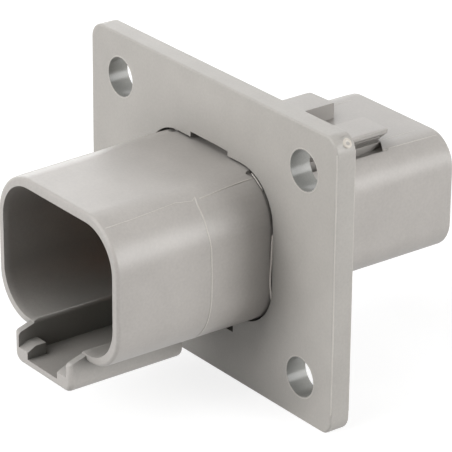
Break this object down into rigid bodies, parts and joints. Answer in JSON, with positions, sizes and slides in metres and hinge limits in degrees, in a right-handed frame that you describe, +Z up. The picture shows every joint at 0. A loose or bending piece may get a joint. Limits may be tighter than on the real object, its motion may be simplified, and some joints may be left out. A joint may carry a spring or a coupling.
{
  "type": "sealed automotive connector",
  "caption": "Sealed automotive receptacle: rounded shroud with a latch keyway, rectangular mounting flange, clip rails, pin contacts, wedge lock and wire seal.",
  "frame": {"origin": "where the mating axis meets the front face of the mounting flange", "axes": "-Y out of the mating shroud, +Y towards the wires, +Z up on the side of the clip rails, +X to the right seen from the mating side"},
  "size_m": [0.0504, 0.0565, 0.0394],
  "materials": {
    "housing": "moulded thermoplastic, fine satin",
    "flange": "moulded thermoplastic, fine satin",
    "wedge": "moulded thermoplastic, satin",
    "seal": "soft silicone",
    "contact": "turned and plated, bright"
  },
  "bodies": {
    "root": {"housing": "housing", "mounting_flange": "flange", "wedge_lock": "wedge", "wire_seal": "seal", "contact_1": "contact", "contact_2": "contact", "contact_3": "contact", "contact_4": "contact"}
  },
  "joints": []
}
